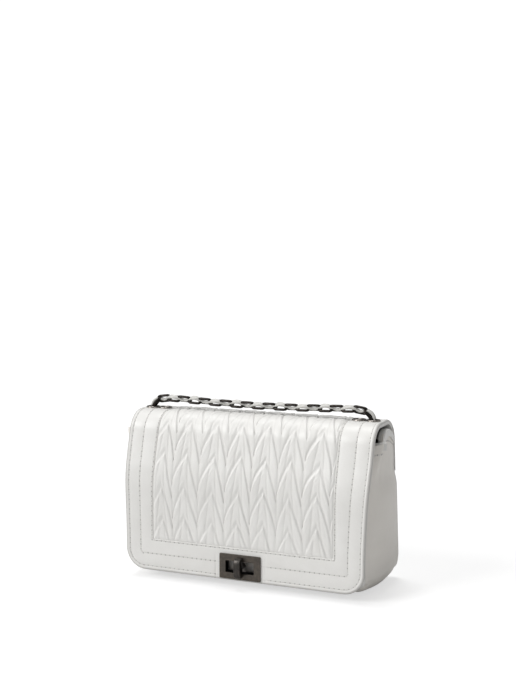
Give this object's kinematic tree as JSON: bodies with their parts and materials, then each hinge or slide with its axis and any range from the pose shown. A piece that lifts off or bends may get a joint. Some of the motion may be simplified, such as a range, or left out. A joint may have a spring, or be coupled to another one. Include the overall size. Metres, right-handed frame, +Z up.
{
  "type": "crossbody bag",
  "caption": "Small white leather crossbody bag with a pleated flap, a dark turn lock and a chain strap woven with a leather lace.",
  "frame": {"origin": "middle of the bottom of the whole object's box, on the floor", "axes": "+X to the viewer's right along the width, +Y from the flap to the back, +Z up"},
  "size_m": [0.258, 0.1068, 0.178],
  "materials": {
    "white_leather": "smooth, soft sheen",
    "dark_metal": "dark plated, half polished",
    "dark_lining": "matte twill"
  },
  "bodies": {
    "body": {"front_panel": "white_leather", "back_panel": "white_leather", "gusset_strip": "white_leather", "lining_bag": "dark_lining", "front_binding": "white_leather", "left_gusset_binding": "white_leather", "right_gusset_binding": "white_leather", "lock_base_plate": "dark_metal", "lock_backing_washer": "dark_metal", "strap_fold_left": "dark_metal", "strap_fold_right": "dark_metal", "strap_drop_left": "dark_metal", "strap_drop_right": "dark_metal", "strap_hank": "dark_metal"},
    "crown": {"crown_lining": "white_leather", "crown_border_left": "white_leather", "crown_border_right": "white_leather", "crown_pleats": "white_leather", "eyelet_left_outer": "dark_metal", "eyelet_left_inner": "dark_metal", "eyelet_right_inner": "dark_metal", "eyelet_right_outer": "dark_metal", "eyelet_washer_left_outer": "dark_metal", "eyelet_washer_left_inner": "dark_metal", "eyelet_washer_right_inner": "dark_metal", "eyelet_washer_right_outer": "dark_metal", "chain_link_01": "dark_metal", "chain_link_02": "dark_metal", "chain_link_03": "dark_metal", "chain_link_04": "dark_metal", "chain_link_05": "dark_metal", "chain_link_06": "dark_metal", "chain_link_07": "dark_metal", "chain_link_08": "dark_metal", "chain_link_09": "dark_metal", "chain_link_10": "dark_metal", "chain_link_11": "dark_metal", "chain_link_12": "dark_metal", "chain_link_13": "dark_metal", "chain_link_14": "dark_metal", "chain_link_15": "dark_metal", "chain_link_16": "dark_metal", "chain_link_17": "dark_metal", "chain_link_18": "dark_metal", "chain_link_19": "dark_metal", "chain_link_20": "dark_metal", "chain_link_21": "dark_metal", "chain_link_22": "dark_metal", "chain_link_23": "dark_metal", "leather_lace": "white_leather", "strap_under_left": "dark_metal", "strap_under_right": "dark_metal"},
    "flap_front": {"flap_border": "white_leather", "flap_lining": "white_leather", "pleated_panel": "white_leather", "lock_frame_plate": "dark_metal", "lock_frame_back": "dark_metal"},
    "knob": {"lock_knob": "dark_metal"}
  },
  "joints": [
    {"name": "back_fold", "type": "hinge", "parent": "body", "child": "crown", "pos_m": [0, 0.03524, 0.15564], "axis": [-1, 0, 0], "range_deg": [0, 175], "deforming": ["strap_fold_left", "strap_fold_right"]},
    {"name": "front_fold", "type": "hinge", "parent": "crown", "child": "flap_front", "pos_m": [0, -0.02442, 0.1613], "axis": [-1, 0, 0], "range_deg": [0, 150]},
    {"name": "lock_turn", "type": "hinge", "parent": "body", "child": "knob", "pos_m": [0, -0.0436, 0.021], "axis": [0, 1, 0], "range_deg": [0, 90]}
  ]
}
